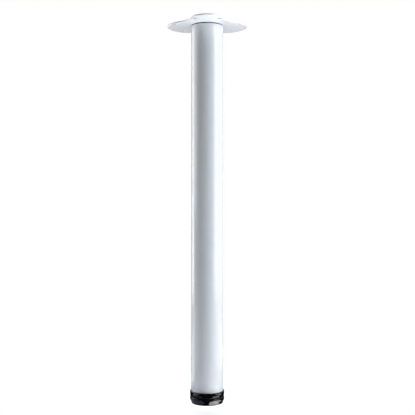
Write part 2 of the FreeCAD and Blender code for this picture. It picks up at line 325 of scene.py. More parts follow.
@dataclass(frozen=True)
class StudioFloor:
    """Pale floor that the camera sees as white, apart from the leg's soft shadow; round the foot, glossy rays see a
    near-black painted reflection.
    """

    name: str = "studio_floor"
    paper: Colour = (0.40, 0.42, 0.445)
    table: Colour = (0.32, 0.335, 0.355)
    paper_rim: Pair = (0.18, 0.50)
    blot_size: float = 90.0
    blot_tone: float = 0.985
    # Painted reflection: a near-black disc round the foot that only glossy rays see, so the black plastic reflects
    # darkness there.
    painted_dark_reflection: Colour = (0.02, 0.02, 0.025)
    dark_reflection_rim: Pair = (0.205, 0.255)
    lift: float = 0.80
    lift_rim: Pair = (0.10, 0.42)

    def make(self) -> Material:
        """Builds the finish.

        Returns:
            The material.
        """
        graph = NodeGraph(bpy.data.materials.new(self.name))
        blot = tuple(c * self.blot_tone for c in self.paper)
        tone = graph.add("ShaderNodeMix", {
            "Factor": self.far(graph, self.paper_rim),
            "A": graph.blend(graph.noise(self.blot_size, 3.0), self.paper, blot),
            "B": (*self.table, 1.0)}, data_type="RGBA")
        sheet = graph.add("ShaderNodeBsdfDiffuse", {"Color": tone.outputs["Result"]}).outputs["BSDF"]
        lift = graph.add("ShaderNodeEmission", {"Strength": self.lift}).outputs["Emission"]
        lifted = graph.add("ShaderNodeAddShader", {0: sheet, 1: lift}).outputs["Shader"]
        white = graph.add("ShaderNodeEmission", {"Strength": 1.0}).outputs["Emission"]
        seen = graph.mix(self.far(graph, self.lift_rim), lifted, white)
        # Glossy rays see the painted dark reflection out to its rim, and the sheet beyond it.
        painted_dark_reflection = graph.add("ShaderNodeBsdfDiffuse", {"Color": (*self.painted_dark_reflection, 1.0)}).outputs["BSDF"]
        mirrored = graph.mix(self.far(graph, self.dark_reflection_rim), painted_dark_reflection, sheet)
        ray = graph.add("ShaderNodeLightPath").outputs
        unseen = graph.mix(ray["Is Glossy Ray"], sheet, mirrored)
        lit = graph.mix(ray["Is Camera Ray"], unseen, seen)
        clear = graph.add("ShaderNodeBsdfTransparent").outputs["BSDF"]
        facing = graph.add("ShaderNodeNewGeometry").outputs["Backfacing"]
        return graph.close(graph.mix(facing, lit, clear))

    def far(self, graph: NodeGraph, rim: Pair) -> Socket:
        """How far out a point of the floor lies, from 0 at the rim's start to 1 at its end."""
        length = graph.add("ShaderNodeVectorMath", {0: graph.places["Object"]}, operation="LENGTH")
        return graph.ranged(length.outputs["Value"], rim)


@dataclass(frozen=True)
class Corner:
    """A corner of a turned profile, in millimetres.

    Attributes:
        radius: Distance from the axis, or the most that it may be where flats is set.
        level: Height above the floor.
        ease: How far from the corner its rounding starts.
        flats: Width across the flats where the section is a hexagon, or 0 if it is round.
    """

    radius: float
    level: float
    ease: float = 0.0
    flats: float = 0.0

    def reach(self, turn: float) -> float:
        """The distance from the axis at a turn about it.

        Args:
            turn: The turn, in radians.

        Returns:
            The distance, shorter than the radius at a hexagon's flats.
        """
        if not self.flats:
            return self.radius
        sector = turn % (math.pi / 3) - math.pi / 6
        return min(self.radius, self.flats / 2 / math.cos(sector))


class Mesher:
    """Turns lists of corners and rings into smooth shaded pieces."""

    segments: int = 192
    ease_steps: int = 6
    crease: float = math.radians(32)

    def eased(self, corners: list[Corner], closed: bool) -> list[Corner]:
        """Rounds the corners of a profile that ask for it.

        Args:
            corners: The profile, in order.
            closed: Whether its last corner leads back to its first.

        Returns:
            A profile in which each eased corner is a short arc.
        """
        out: list[Corner] = []
        count = len(corners)
        for index, corner in enumerate(corners):
            ends = not closed and index in (0, count - 1)
            if not corner.ease or ends:
                out.append(corner)
                continue
            before, after = corners[index - 1], corners[(index + 1) % count]
            start, end = self.part_way(corner, before), self.part_way(corner, after)
            for step in range(self.ease_steps + 1):
                t = step / self.ease_steps
                weights = ((1 - t) ** 2, 2 * t * (1 - t), t ** 2)
                radius = sum(w * r for w, r in zip(weights, (start[0], corner.radius, end[0])))
                level = sum(w * z for w, z in zip(weights, (start[1], corner.level, end[1])))
                out.append(Corner(radius, level))
        return out

    def part_way(self, corner: Corner, other: Corner) -> Pair:
        """Finds where a corner's rounding meets the line to its neighbour.

        Args:
            corner: The corner.
            other: Its neighbour.

        Returns:
            Radius and level of the point, at most half way along.
        """
        across, up = other.radius - corner.radius, other.level - corner.level
        share = min(corner.ease / math.hypot(across, up), 0.5)
        return corner.radius + across * share, corner.level + up * share

    def turned(self, bm: BMesh, corners: list[Corner], closed: bool) -> None:
        """Adds a body turned about the leg's axis.

        Args:
            bm: The mesh that it goes into.
            corners: The profile; an open one starts and ends on the axis.
            closed: Whether the profile closes on itself.
        """
        rings = [self.ring(bm, corner) for corner in self.eased(corners, closed)]
        pairs = list(zip(rings, rings[1:]))
        if closed:
            pairs.append((rings[-1], rings[0]))
        for lower, upper in pairs:
            self.band(bm, lower, upper)

    def ring(self, bm: BMesh, corner: Corner) -> list[BMVert]:
        """Adds the circle of one corner, or its single point on the axis.

        Args:
            bm: The mesh that it goes into.
            corner: The corner.

        Returns:
            The circle's points, in order.
        """
        if corner.radius * MM < SAME_POINT:
            return [bm.verts.new((0.0, 0.0, corner.level * MM))]
        out = []
        for step in range(self.segments):
            turn = 2 * math.pi * step / self.segments
            reach = corner.reach(turn) * MM
            out.append(bm.verts.new((reach * math.cos(turn), reach * math.sin(turn), corner.level * MM)))
        return out

    def band(self, bm: BMesh, lower: list[BMVert], upper: list[BMVert]) -> None:
        """Adds the faces between two rings.

        Args:
            bm: The mesh that they go into.
            lower: The points of the one ring, or its single point.
            upper: Those of the other.
        """
        count = max(len(lower), len(upper))
        if count == 1:
            return
        for step in range(count):
            after = (step + 1) % count
            loop = [lower[step % len(lower)], lower[after % len(lower)],
                    upper[after % len(upper)], upper[step % len(upper)]]
            bm.faces.new(list(dict.fromkeys(loop)))

    def block(self, bm: BMesh, reach: Pair, levels: Pair, width: float, turn: float) -> None:
        """Adds a straight rib that points away from the axis.

        Args:
            bm: The mesh that it goes into.
            reach: Where it starts and ends, from the axis.
            levels: Its lower and upper level.
            width: Its thickness.
            turn: Its direction, in radians.
        """
        along = Vector((math.cos(turn), math.sin(turn), 0.0))
        aside = Vector((-along.y, along.x, 0.0)) * (width / 2)
        inner, outer = along * reach[0], along * reach[1]
        ends = []
        for level in levels:
            lift = Vector((0.0, 0.0, level))
            spots = (inner - aside, outer - aside, outer + aside, inner + aside)
            ends.append([bm.verts.new((spot + lift) * MM) for spot in spots])
        self.band(bm, ends[0], ends[1])
        bm.faces.new(ends[0][::-1])
        bm.faces.new(ends[1])

    def piece(self, name: str, bm: BMesh, *finishes: Material) -> bpy.types.Object:
        """Closes a mesh and puts it into the scene.

        Args:
            name: The piece's name.
            bm: Its mesh, which is used up.
            *finishes: Its finish, and any others that its faces are numbered for.

        Returns:
            The new object.
        """
        bmesh.ops.recalc_face_normals(bm, faces=bm.faces)
        mesh = bpy.data.meshes.new(name)
        bm.to_mesh(mesh)
        bm.free()
        for face in mesh.polygons:
            face.use_smooth = True
        mesh.set_sharp_from_angle(angle=self.crease)
        for finish in finishes:
            mesh.materials.append(finish)
        piece = bpy.data.objects.new(name, mesh)
        bpy.context.scene.collection.objects.link(piece)
        weighted = piece.modifiers.new("even_shading", "WEIGHTED_NORMAL")
        weighted.keep_sharp = True
        return piece


class Workshop:
    """Makes the finishes, seats finished pieces in the frame and dresses the frame's own nodes."""

    def __init__(self, nodes: dict[str, bpy.types.Object]) -> None:
        """Keeps the frame's nodes and makes every finish once.

        Args:
            nodes: The frame's nodes by name.
        """
        self.nodes = nodes
        self.mesher = Mesher()
        gloss = MouldedBlack(
            "black_gloss_plastic", (0.0012, 0.0013, 0.0016), (0.0020, 0.0022, 0.0026), (0.05, 0.09), 0.5, 0.0006)
        matt = MouldedBlack(
            "black_matt_plastic", (0.010, 0.010, 0.011), (0.018, 0.018, 0.019), (0.45, 0.60), 0.3, 0.004)
        self.finishes = {
            Slot.WHITE_TUBE: PowderCoat("tube_powder_coat").make(),
            Slot.WHITE_PLATE: PowderCoat("plate_powder_coat", wave_size=1.5).make(),
            Slot.BLACK_GLOSS: gloss.make(),
            Slot.BLACK_PLUG: matt.make(),
            Slot.ZINC_STEEL: ZincPlate("zinc_plate").make(),
        }
        # Painted shade: a dark steel finish on the walls of the screw holes, standing in for the shade inside them.
        self.hole_shade = ZincPlate("painted_hole_shade", (0.13, 0.13, 0.14), (0.17, 0.16, 0.15), (0.40, 0.60)).make()

    def seat(self, name: str, bm: BMesh, body: Body, slot: Slot, *stands_for: str,
             more: tuple[Material, ...] = ()) -> None:
        """Makes a mesh into a piece and puts it on its body, in place of the nodes that it stands for.

        Args:
            name: The piece's name.
            bm: Its mesh, which is used up.
            body: The body that it moves with.
            slot: The record's slot of its finish.
            *stands_for: The nodes that it replaces.
            more: Further finishes that its faces are numbered for.
        """
        piece = self.mesher.piece(name, bm, self.finishes[slot], *more)
        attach(piece, body.value)
        if stands_for:
            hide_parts(*stands_for)
        faces = len(piece.data.polygons)
        LOG.info("%s: %d faces, on %s, for %s", name, faces, body.value, ", ".join(stands_for))

    def dress(self, slot: Slot, *names: str) -> None:
        """Gives nodes of the frame their finish.

        Args:
            slot: The record's slot of the finish.
            *names: The nodes.
        """
        material = self.finishes[slot]
        for name in names:
            node = self.nodes[name]
            if not node.material_slots:
                node.data.materials.append(material)
            for held in node.material_slots:
                held.material = material
            LOG.info("%s: dressed as %s", name, material.name)


@dataclass
class MetricThread:
    """A right-hand M10 screw thread cut along a round bar.

    Attributes:
        low: Level where the threaded bar starts.
        high: Level where it ends.
        crest: Outer radius.
        root: Radius at the bottom of the groove.
        pitch: Rise in one turn.
        flat: Share of half a pitch that the crest and the root each keep straight.
        tip: Chamfer at the upper end.
        runout: Length over which the groove fades out at the lower end.
        groove: Levels of a plain groove round the bar, if it has one.
        groove_radius: Radius of that groove.
        around: Points in one turn.
        across: Points over one pitch.
    """

    low: float
    high: float
    crest: float = 5.0
    root: float = 4.1
    pitch: float = 1.5
    flat: float = 0.14
    tip: float = 1.0
    runout: float = 1.0
    groove: Pair | None = None
    groove_radius: float = 4.6
    around: int = 64
    across: int = 12

    def reach(self, turn: float, level: float) -> float:
        """The bar's radius at one of its points.

        Args:
            turn: Its turn round the axis, from 0 to 1.
            level: Its level.

        Returns:
            The radius.
        """
        phase = (level / self.pitch - turn) % 1.0
        ridge = 1.0 - abs(2.0 * phase - 1.0)
        share = min(max((ridge - self.flat) / (1.0 - 2.0 * self.flat), 0.0), 1.0)
        depth = (self.crest - self.root) * (1.0 - share)
        depth *= min(max((level - self.low) / self.runout, 0.0), 1.0)
        radius = min(self.crest - depth, self.crest - self.tip + (self.high - level))
        if self.groove and self.groove[0] < level < self.groove[1]:
            radius = min(radius, self.groove_radius)
        return radius

    def cut(self, bm: BMesh) -> None:
        """Adds the threaded bar, whose mesh winds along with the thread.

        Args:
            bm: The mesh that it goes into.
        """
        turns = math.ceil((self.high - self.low) / self.pitch) + 1
        rows = turns * self.across
        start = self.low - self.pitch
        grid = []
        for row in range(rows + self.across + 1):
            line = []
            for column in range(self.around):
                turn = column / self.around
                level = start + self.pitch * (row / self.across + turn)
                level = min(max(level, self.low), self.high)
                reach = self.reach(turn, level) * MM
                angle = 2 * math.pi * turn
                line.append(bm.verts.new((reach * math.cos(angle), reach * math.sin(angle), level * MM)))
            grid.append(line)
        for row in range(rows):
            for column in range(self.around):
                right = (column + 1) % self.around
                after = row + (0 if right else self.across)
                bm.faces.new((grid[row][column], grid[after][right], grid[after + 1][right], grid[row + 1][column]))
        bmesh.ops.remove_doubles(bm, verts=bm.verts, dist=SAME_POINT)
        loose = [vert for vert in bm.verts if not vert.link_faces]
        bmesh.ops.delete(bm, geom=loose, context="VERTS")
        rims = [edge for edge in bm.edges if edge.is_boundary]
        for level in (self.low, self.high):
            rim = [edge for edge in rims
                   if all(abs(vert.co.z - level * MM) < SAME_POINT / 10 for vert in edge.verts)]
            bmesh.ops.contextual_create(bm, geom=rim)


@dataclass
class Tube:
    """The round steel tube."""

    radius: float = 30.0
    wall: float = 1.5
    low: float = 22.8
    high: float = 705.5
    rim: float = 0.45

    def build(self, shop: Workshop) -> None:
        """Builds the tube and puts it on the leg.

        Args:
            shop: Where it is made and seated.
        """
        inner = self.radius - self.wall
        bm = bmesh.new()
        shop.mesher.turned(bm, [
            Corner(inner, self.low, CRISP),
            Corner(self.radius, self.low, self.rim),
            Corner(self.radius, self.high, self.rim),
            Corner(inner, self.high, CRISP),
        ], closed=True)
        shop.seat("steel_tube", bm, Body.LEG, Slot.WHITE_TUBE, "tube")


@dataclass
class LobedPlate:
    """The mounting plate: one lobe to the front and two wider ones to the sides."""

    low: float = 707.0
    high: float = 710.0
    front_reach: float = 80.5
    front_radius: float = 28.5
    side_reach: float = 78.98
    side_radius: float = 44.98
    side_angle: float = 117.0
    front_waist: float = 55.0
    rear_waist: float = 70.0
    lower_round: float = 1.8
    upper_round: float = 0.35
    screw_hole: float = 4.6
    countersink: float = 8.8
    seat_hole: float = 16.0
    front_margin: float = 5.5
    front_turn: float = 79.5
    side_margin: float = 5.48
    side_turn: float = 50.0
    rear_margin: float = 14.98
    rear_turn: float = 150.0
    shade_from: Triple = (0.50, 0.93, 1.30)  # where the painted shade starts in the front, side and rear holes, lowest in the front ones, where the shade is darkest
    # Radius and level of the roundings from a hole's mouth, its countersink's end and the upper face
    mouth_ease: tuple[Pair, ...] = ((0.12, 0.0), (0.0, 0.06), (-0.15, 0.18))
    sink_ease: tuple[Pair, ...] = ((0.15, -0.13), (0.0, 0.12))
    hole_ease: tuple[Pair, ...] = ((0.0, -0.2), (0.06, -0.06), (0.2, 0.0))
    seat_ease: tuple[Pair, ...] = ((0.0, -0.25), (0.08, -0.08), (0.25, 0.0))
    lobe_steps: int = 72
    waist_steps: int = 40
    hole_points: int = 64
    seat_points: int = 96
    edge_points: int = 6

    def around(self, radius: float, angle: float) -> Vector:
        """The point in plan at a radius and an angle from the front, turning right."""
        turn = math.radians(angle)
        return Vector((radius * math.sin(turn), -radius * math.cos(turn)))

    def lobes(self) -> list[tuple[Vector, float]]:
        """Places the three lobes.

        Returns:
            Centre and radius of the front, right and left lobe.
        """
        front = self.around(self.front_reach - self.front_radius, 0.0)
        right = self.around(self.side_reach - self.side_radius, self.side_angle)
        left = Vector((-right.x, right.y))
        return [(front, self.front_radius), (right, self.side_radius), (left, self.side_radius)]

    def waist(self, first: tuple[Vector, float], second: tuple[Vector, float], radius: float) -> Vector:
        """The centre of the hollow arc that joins two lobes.

        Args:
            first: Centre and radius of the lobe before it.
            second: Centre and radius of the lobe after it.
            radius: The arc's radius.

        Returns:
            Its centre, to the right of the way from first to second.
        """
        gap = second[0] - first[0]
        reach = first[1] + radius
        along = (gap.length_squared + reach ** 2 - (second[1] + radius) ** 2) / (2 * gap.length)
        aside = math.sqrt(reach ** 2 - along ** 2)
        course = gap.normalized()
        return first[0] + course * along + Vector((course.y, -course.x)) * aside

    def outline(self, inset: float) -> list[Vector]:
        """The plate's outline in plan, anticlockwise from above.

        Args:
            inset: How far inside the edge it runs.

        Returns:
            Its points, as many for every inset.
        """
        lobes = self.lobes()
        radii = (self.front_waist, self.rear_waist, self.front_waist)
        waists = [self.waist(lobes[i], lobes[(i + 1) % 3], radii[i]) for i in range(3)]
        points: list[Vector] = []
        for i, (centre, radius) in enumerate(lobes):
            before, after = waists[i - 1], waists[i]
            points += self.arc(centre, radius - inset, before - centre, after - centre, self.lobe_steps)
            following = lobes[(i + 1) % 3][0]
            points += self.arc(after, radii[i] + inset, centre - after, following - after, -self.waist_steps)
        return points

    def arc(self, centre: Vector, radius: float, start: Vector, end: Vector, steps: int) -> list[Vector]:
        """Points of an arc without its last one.

        Args:
            centre: The arc's centre.
            radius: Its radius.
            start: Direction of its first point.
            end: Direction of its last point.
            steps: How many points it gets, below 0 where it turns clockwise.

        Returns:
            The points.
        """
        sense = math.copysign(1.0, steps)
        first = math.atan2(start.y, start.x)
        sweep = (math.atan2(end.y, end.x) - first) * sense % (2 * math.pi)
        turns = [first + sense * sweep * step / abs(steps) for step in range(abs(steps))]
        return [centre + Vector((math.cos(t), math.sin(t))) * radius for t in turns]

    def screw_places(self) -> list[Vector]:
        """Places the six screw holes.

        Returns:
            Their centres in plan: front, side and rear, right and then left.
        """
        (front, front_radius), (right, side_radius), _ = self.lobes()
        half = [
            front + self.around(front_radius - self.front_margin, self.front_turn),
            right + self.around(side_radius - self.side_margin, self.side_turn),
            right + self.around(side_radius - self.rear_margin, self.rear_turn),
        ]
        return half + [Vector((-place.x, place.y)) for place in half]

    def wall(self, bm: BMesh, loops: list[Outline], shade_from: float) -> tuple[list[BMEdge], list[BMEdge]]:
        """Adds a wall through a stack of outlines.

        Args:
            bm: The plate's mesh.
            loops: Each outline in plan with its level, from the lowest up.
            shade_from: The level from which the wall takes the painted shade.

        Returns:
            The edges of the lowest outline and those of the highest.
        """
        rings = []
        for points, level in loops:
            rings.append([bm.verts.new((p.x * MM, p.y * MM, level * MM)) for p in points])
        for (lower, upper), (_, level) in zip(zip(rings, rings[1:]), loops):
            for i in range(len(lower)):
                j = (i + 1) % len(lower)
                face = bm.faces.new((lower[i], lower[j], upper[j], upper[i]))
                # Faces from that level up take the second finish, the holes' painted shade.
                face.material_index = int(level >= shade_from)
        ends = []
        for ring in (rings[0], rings[-1]):
            ends.append([bm.edges.get((ring[i], ring[(i + 1) % len(ring)])) for i in range(len(ring))])
        return ends[0], ends[1]

    def edge_steps(self) -> list[Pair]:
        """Steps of the outer wall, rounded below and above.

        Returns:
            Inset and level of each outline, from the lowest up.
        """
        steps = []
        for size, level, side in ((self.lower_round, self.low, 1), (self.upper_round, self.high, -1)):
            arc = []
            for point in range(self.edge_points):
                turn = math.pi / 2 * point / (self.edge_points - 1)
                arc.append((size * (1 - math.sin(turn)), level + side * size * (1 - math.cos(turn))))
            steps.append(arc)
        return steps[0] + steps[1][::-1]

    def circle(self, place: Vector, radius: float, count: int) -> list[Vector]:
        """The points of a circle in plan."""
        turns = [2 * math.pi * i / count for i in range(count)]
        return [place + Vector((math.cos(t), math.sin(t))) * radius for t in turns]

    def hole(self, place: Vector, hole_shade: float) -> list[Outline]:
        """The outlines of a countersunk screw hole, one of them where its painted shade starts.

        Args:
            place: The hole's centre in plan.
            hole_shade: How far above the lower face its painted shade starts.

        Returns:
            Each outline with its level, from the mouth up.
        """
        mouth, bore = self.countersink / 2, self.screw_hole / 2
        sink = self.low + mouth - bore
        cone = mouth + sum(self.mouth_ease[-1])
        stack = [(mouth + out, self.low + up) for out, up in self.mouth_ease]
        stack.append((cone - hole_shade, self.low + hole_shade))
        stack += [(bore + out, sink + up) for out, up in self.sink_ease]
        stack += [(bore + out, self.high + up) for out, up in self.hole_ease]
        return [(self.circle(place, radius, self.hole_points), level) for radius, level in stack]

    def build(self, shop: Workshop) -> None:
        """Builds the plate and puts it on the leg.

        Args:
            shop: Where it is made and seated.
        """
        bm = bmesh.new()
        walls = [([(self.outline(inset), level) for inset, level in self.edge_steps()], math.inf)]
        # Each hole's painted shade starts at its own height, lowest in the front holes, where the shade is darkest.
        for place, hole_shade in zip(self.screw_places(), self.shade_from * 2):
            walls.append((self.hole(place, hole_shade), self.low + hole_shade))
        seat = self.seat_hole / 2
        seat_steps = [(seat, self.low)] + [(seat + out, self.high + up) for out, up in self.seat_ease]
        axis = Vector((0.0, 0.0))
        seat_wall = [(self.circle(axis, radius, self.seat_points), level) for radius, level in seat_steps]
        walls.append((seat_wall, self.low))
        lower: list[BMEdge] = []
        upper: list[BMEdge] = []
        for stack, shade_from in walls:
            low_rim, high_rim = self.wall(bm, stack, shade_from)
            lower += low_rim
            upper += high_rim
        bmesh.ops.triangle_fill(bm, edges=lower, use_beauty=True, normal=(0.0, 0.0, -1.0))
        bmesh.ops.triangle_fill(bm, edges=upper, use_beauty=True, normal=(0.0, 0.0, 1.0))
        shop.seat("lobed_plate", bm, Body.LEG, Slot.WHITE_PLATE, "mounting_plate", more=(shop.hole_shade,))


@dataclass
class TopMount:
    """What joins the tube to the plate: the bush, the bolt, its washers and the plug."""

    plate_low: float = 707.0
    plate_high: float = 710.0
    bush_low: float = 699.0
    bush_collar: float = 11.0
    bush_spigot: float = 8.0
    bush_bore: float = 5.05
    lower_lead: float = 1.0
    upper_lead: float = 0.6
    bolt_end: float = 708.0
    bolt_runout: float = 1.2
    head_low: float = 682.1
    head_high: float = 688.5
    head_flats: float = 17.0

    def bush(self, shop: Workshop) -> None:
        """Builds the threaded bush, with its spigot flush in the plate.

        Args:
            shop: Where it is made and seated.
        """
        bm = bmesh.new()
        shop.mesher.turned(bm, [
            Corner(self.bush_bore + self.lower_lead, self.bush_low),
            Corner(self.bush_collar, self.bush_low, SOFT),
            Corner(self.bush_collar, self.plate_low, CRISP / 2),
            Corner(self.bush_spigot, self.plate_low),
            Corner(self.bush_spigot, self.plate_high, CRISP),
            Corner(self.bush_bore + self.upper_lead, self.plate_high, 0.1),
            Corner(self.bush_bore, self.plate_high - self.upper_lead),
            Corner(self.bush_bore, self.bush_low + self.lower_lead),
        ], closed=True)
        shop.seat("threaded_bush", bm, Body.LEG, Slot.ZINC_STEEL, "plate_bush")

    def bolt(self, shop: Workshop) -> None:
        """Builds the hexagon bolt with its thread.

        Args:
            shop: Where it is made and seated.
        """
        bm = bmesh.new()
        MetricThread(low=self.head_high, high=self.bolt_end, runout=self.bolt_runout).cut(bm)
        shop.mesher.turned(bm, hexagon_head(self.head_low, self.head_high, self.head_flats), closed=False)
        shop.seat("hexagon_bolt", bm, Body.LEG, Slot.ZINC_STEEL, "leg_bolt")

    def build(self, shop: Workshop) -> None:
        """Builds and dresses the whole mount.

        Args:
            shop: Where it is made, seated and dressed.
        """
        self.bush(shop)
        self.bolt(shop)
        shop.dress(Slot.BLACK_PLUG, "top_plug")
        shop.dress(Slot.ZINC_STEEL, "plain_washer", "spring_washer")


def hexagon_head(low: float, high: float, flats: float, steps: int = 6) -> list[Corner]:
    """The profile of a hexagon bolt head whose corners are turned off below.

    Args:
        low: Level of its outer face.
        high: Level of the face that bears.
        flats: Width across its flats.
        steps: How fine the turned corners are.

    Returns:
        An open profile from the axis to the axis.
    """
    corner = flats / math.sqrt(3)
    face = corner - HEX_CHAMFER / math.tan(math.radians(30))
    profile = [Corner(0.0, low), Corner(face - 0.4, low), Corner(face, low + 0.06, flats=flats)]
    for step in range(1, steps + 1):
        share = step / steps
        profile.append(Corner(face + (corner - face) * share, low + HEX_CHAMFER * share, flats=flats))
    return profile + [Corner(corner, high, flats=flats), Corner(0.0, high)]


@dataclass
class EndPlug:
    """The black plug in the bottom of the tube, whose collar shows as the upper ring."""

    low: float = 13.8
    high: float = 22.8
    collar: float = 32.1
    collar_ease: float = 0.35
    step: float = 0.35
    step_high: float = 17.4
    step_low: float = 15.5
    spigot: float = 28.4
    wall: float = 3.0
    spigot_high: float = 58.8
    web_high: float = 17.8
    boss: float = 13.0
    boss_high: float = 36.4
    boss_ease: float = 0.4
    nut_flats: float = 17.0
    nut_high: float = 21.9
    bore: float = 5.4
    ribs: int = 8
    rib_width: float = 2.0
    rib_high: float = 31.8
    rib_bite: float = 1.0  # how deep a rib starts in the boss
    rib_root: float = 0.5  # how deep it starts in the web

    def build(self, shop: Workshop) -> None:
        """Builds the plug and dresses the nut that it holds.

        Args:
            shop: Where it is made, seated and dressed.
        """
        lower = self.collar - self.step
        inner = self.spigot - self.wall
        corner = self.nut_flats / math.sqrt(3)
        bm = bmesh.new()
        shop.mesher.turned(bm, [
            Corner(corner, self.low, flats=self.nut_flats),
            Corner(lower, self.low, SOFT),
            Corner(lower, self.step_low, CRISP),
            Corner(self.collar, self.step_high, CRISP),
            Corner(self.collar, self.high, self.collar_ease),
            Corner(self.spigot, self.high),
            Corner(self.spigot, self.spigot_high, FILLET),
            Corner(inner, self.spigot_high, CRISP),
            Corner(inner, self.web_high, FILLET),
            Corner(self.boss, self.web_high, FILLET),
            Corner(self.boss, self.boss_high, self.boss_ease),
            Corner(self.bore, self.boss_high, CRISP),
            Corner(self.bore, self.nut_high),
            Corner(corner, self.nut_high, flats=self.nut_flats),
        ], closed=True)
        reach = (self.boss - self.rib_bite, self.spigot - self.wall / 2)
        levels = (self.web_high - self.rib_root, self.rib_high)
        for rib in range(self.ribs):
            shop.mesher.block(bm, reach, levels, self.rib_width, 2 * math.pi * rib / self.ribs)
        shop.seat("collared_end_plug", bm, Body.LEG, Slot.BLACK_GLOSS, "end_plug")
        shop.dress(Slot.ZINC_STEEL, "spindle_nut")


@dataclass
class AdjustingFoot:
    """The foot that the hand turns, its screw, the clip and the swivelling sole."""

    sole_radius: float = 30.0
    sole_taper: float = 0.5
    sole_high: float = 4.0
    sole_ease: float = 0.5
    snap_outer: float = 16.0
    snap_wall: float = 2.4
    snap_high: float = 7.6
    snap_lip: float = 0.5
    snap_lip_high: float = 1.0
    gap: float = 0.1
    low: float = 4.1
    rim: float = 32.1
    band: float = 3.8
    taper: float = 1.0
    high: float = 11.7
    low_ease: float = 0.7
    belly: float = 2.4
    neck: float = 30.5
    neck_high: float = 13.7
    head_flats: float = 17.0
    seat: float = 10.5
    screw: float = 5.0
    screw_high: float = 60.5
    screw_set: float = 0.6  # how deep in the neck the screw's thread starts
    clip: Pair = (56.5, 57.5)

    def snap(self, clearance: float, low: float) -> list[Corner]:
        """The profile of the barbed ring, from its outer foot over the top to its inner foot.

        Args:
            clearance: How much wider than the ring it is all round.
            low: The level of both its feet.

        Returns:
            The corners.
        """
        outer = self.snap_outer + clearance
        inner = self.snap_outer - self.snap_wall - clearance
        top = self.snap_high + clearance
        barb = self.snap_high - self.snap_lip_high - clearance
        return [
            Corner(outer, low), Corner(outer, barb), Corner(outer + self.snap_lip, barb, 0.08),
            Corner(outer, top, 0.1), Corner(inner, top, 0.1), Corner(inner, low)]

    def sole(self, shop: Workshop) -> None:
        """Builds the sole with its snap ring.

        Args:
            shop: Where it is made and seated.
        """
        low_rim = self.sole_radius - self.sole_taper
        bm = bmesh.new()
        shop.mesher.turned(bm, [
            Corner(0.0, 0.0), Corner(low_rim, 0.0, self.sole_ease), Corner(self.sole_radius, self.sole_high, 0.25),
            *self.snap(0.0, self.sole_high), Corner(0.0, self.sole_high)], closed=False)
        shop.seat("swivel_sole", bm, Body.SOLE, Slot.BLACK_GLOSS, "sole")

    def disc(self, shop: Workshop) -> None:
        """Builds the tapered disc with its neck.

        Args:
            shop: Where it is made and seated.
        """
        corner = self.head_flats / math.sqrt(3)
        bm = bmesh.new()
        shop.mesher.turned(bm, [
            Corner(corner, self.low, flats=self.head_flats),
            *reversed(self.snap(self.gap, self.low)),
            Corner(self.rim - self.taper, self.low, self.low_ease),
            Corner(self.rim, self.high - self.band, self.belly),
            Corner(self.rim, self.high, SOFT),
            Corner(self.neck, self.high, 0.2),
            Corner(self.neck, self.neck_high, CRISP),
            Corner(self.screw, self.neck_high),
            Corner(self.screw, self.seat),
            Corner(corner, self.seat, flats=self.head_flats),
        ], closed=True)
        shop.seat("turning_foot", bm, Body.FOOT, Slot.BLACK_GLOSS, "foot")

    def spindle(self, shop: Workshop) -> None:
        """Builds the foot's screw and dresses its clip.

        Args:
            shop: Where it is made, seated and dressed.
        """
        shank_low, shank_high = self.seat - 0.2, self.neck_high - self.screw_set
        bm = bmesh.new()
        MetricThread(low=shank_high, high=self.screw_high, groove=self.clip).cut(bm)
        shop.mesher.turned(bm, hexagon_head(self.low, self.seat, self.head_flats), closed=False)
        shop.mesher.turned(bm, [
            Corner(0.0, shank_low), Corner(self.screw, shank_low),
            Corner(self.screw, shank_high), Corner(0.0, shank_high)], closed=False)
        shop.seat("screw_spindle", bm, Body.FOOT, Slot.ZINC_STEEL, "spindle")
        shop.dress(Slot.ZINC_STEEL, "stop_clip")

    def build(self, shop: Workshop) -> None:
        """Builds the whole foot.

        Args:
            shop: Where it is made, seated and dressed.
        """
        self.sole(shop)
        self.disc(shop)
        self.spindle(shop)


def panel_lamp(name: str, where: Vector, aim: Vector, size: Pair, radiance: float, tint: Colour,
               spread: float = 180.0) -> bpy.types.Object:
    """Adds a rectangular lamp that the camera doesn't see.

    Args:
        name: Its name.
        where: Its middle.
        aim: The direction that it faces.
        size: Its width and height.
        radiance: How bright its face is, where 1 is white.
        tint: Its colour.
        spread: How wide its beam opens, in degrees.

    Returns:
        The lamp's object.
    """
    lamp = bpy.data.lights.new(name, "AREA")
    lamp.shape = "RECTANGLE"
    lamp.size, lamp.size_y = size
    lamp.energy = radiance * math.pi * size[0] * size[1]
    lamp.color = tint
    lamp.spread = math.radians(spread)
    holder = bpy.data.objects.new(name, lamp)
    holder.location = where
    holder.rotation_mode = "QUATERNION"
    holder.rotation_quaternion = aim.to_track_quat("-Z", "Y")
    holder.visible_camera = False
    bpy.context.scene.collection.objects.link(holder)
    LOG.info("lamp %s: %.2f x %.2f m, radiance %.2f", name, *size, radiance)
    return holder


@dataclass(frozen=True)
class Softbox:
    """A soft panel lamp that faces the leg.

    Attributes:
        name: Its name.
        side: Its direction from the leg in degrees, 0 to the front and 90 to the right.
        distance: How far out it stands, in metres.
        low: Level of its lower edge, in metres.
        high: Level of its upper edge, in metres.
        width: Its width, in metres.
        radiance: How bright its face is, where 1 is white.
        tint: Its colour.
    """

    name: str
    side: float
    distance: float
    low: float
    high: float
    width: float
    radiance: float
    tint: Colour = (1.0, 1.0, 1.0)

    def place(self) -> None:
        """Puts the lamp into the scene."""
        turn = math.radians(self.side)
        where = Vector((math.sin(turn) * self.distance, -math.cos(turn) * self.distance, (self.low + self.high) / 2))
        aim = Vector((0.0, 0.0, where.z)) - where
        panel_lamp(self.name, where, aim, (self.width, self.high - self.low), self.radiance, self.tint)


